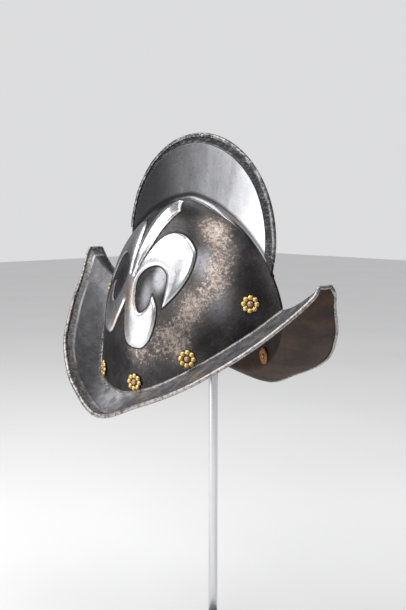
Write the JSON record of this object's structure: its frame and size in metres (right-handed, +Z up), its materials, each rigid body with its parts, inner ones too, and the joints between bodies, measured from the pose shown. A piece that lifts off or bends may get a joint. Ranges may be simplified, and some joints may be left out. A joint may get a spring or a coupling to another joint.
{
  "type": "comb morion helmet on a display stand",
  "caption": "Steel comb morion with upturned peaks, a tall comb, an embossed lily on each side and brass rosettes, held on a round foot by a thin rod.",
  "frame": {"origin": "centre of the bounding box at its base, on the surface the foot stands on", "axes": "+Z up; -Y toward the front peak of the helmet; X across it, the wearer's right at -X"},
  "size_m": [0.2524, 0.3637, 0.577],
  "materials": {
    "blackened_steel": "blackened, with polished lilies, comb panels and edges, worn",
    "polished_steel": "polished",
    "gilt_brass": "worn gilding, dark in the recesses",
    "rivet_iron": "worn, brownish",
    "washer_leather": "aged orange brown",
    "black_paint": "satin black"
  },
  "bodies": {
    "root": {"helmet_right_half": "blackened_steel", "helmet_left_half": "blackened_steel", "comb_rivet": "rivet_iron", "rosette_r1": "gilt_brass", "rosette_r2": "gilt_brass", "rosette_r3": "gilt_brass", "rosette_r4": "gilt_brass", "rosette_r5": "gilt_brass", "rosette_l1": "gilt_brass", "rosette_l2": "gilt_brass", "rosette_l3": "gilt_brass", "rosette_l4": "gilt_brass", "rosette_l5": "gilt_brass", "lining_rivet_r1": "rivet_iron", "lining_rivet_r2": "rivet_iron", "lining_rivet_r3": "rivet_iron", "lining_rivet_r4": "rivet_iron", "lining_rivet_r5": "rivet_iron", "lining_rivet_l1": "rivet_iron", "lining_rivet_l2": "rivet_iron", "lining_rivet_l3": "rivet_iron", "lining_rivet_l4": "rivet_iron", "lining_rivet_l5": "rivet_iron", "lining_washer_r1": "washer_leather", "lining_washer_r2": "washer_leather", "lining_washer_r3": "washer_leather", "lining_washer_r4": "washer_leather", "lining_washer_r5": "washer_leather", "lining_washer_l1": "washer_leather", "lining_washer_l2": "washer_leather", "lining_washer_l3": "washer_leather", "lining_washer_l4": "washer_leather", "lining_washer_l5": "washer_leather", "stand_foot": "black_paint", "stand_rod": "polished_steel", "stand_cap": "black_paint"}
  },
  "joints": []
}
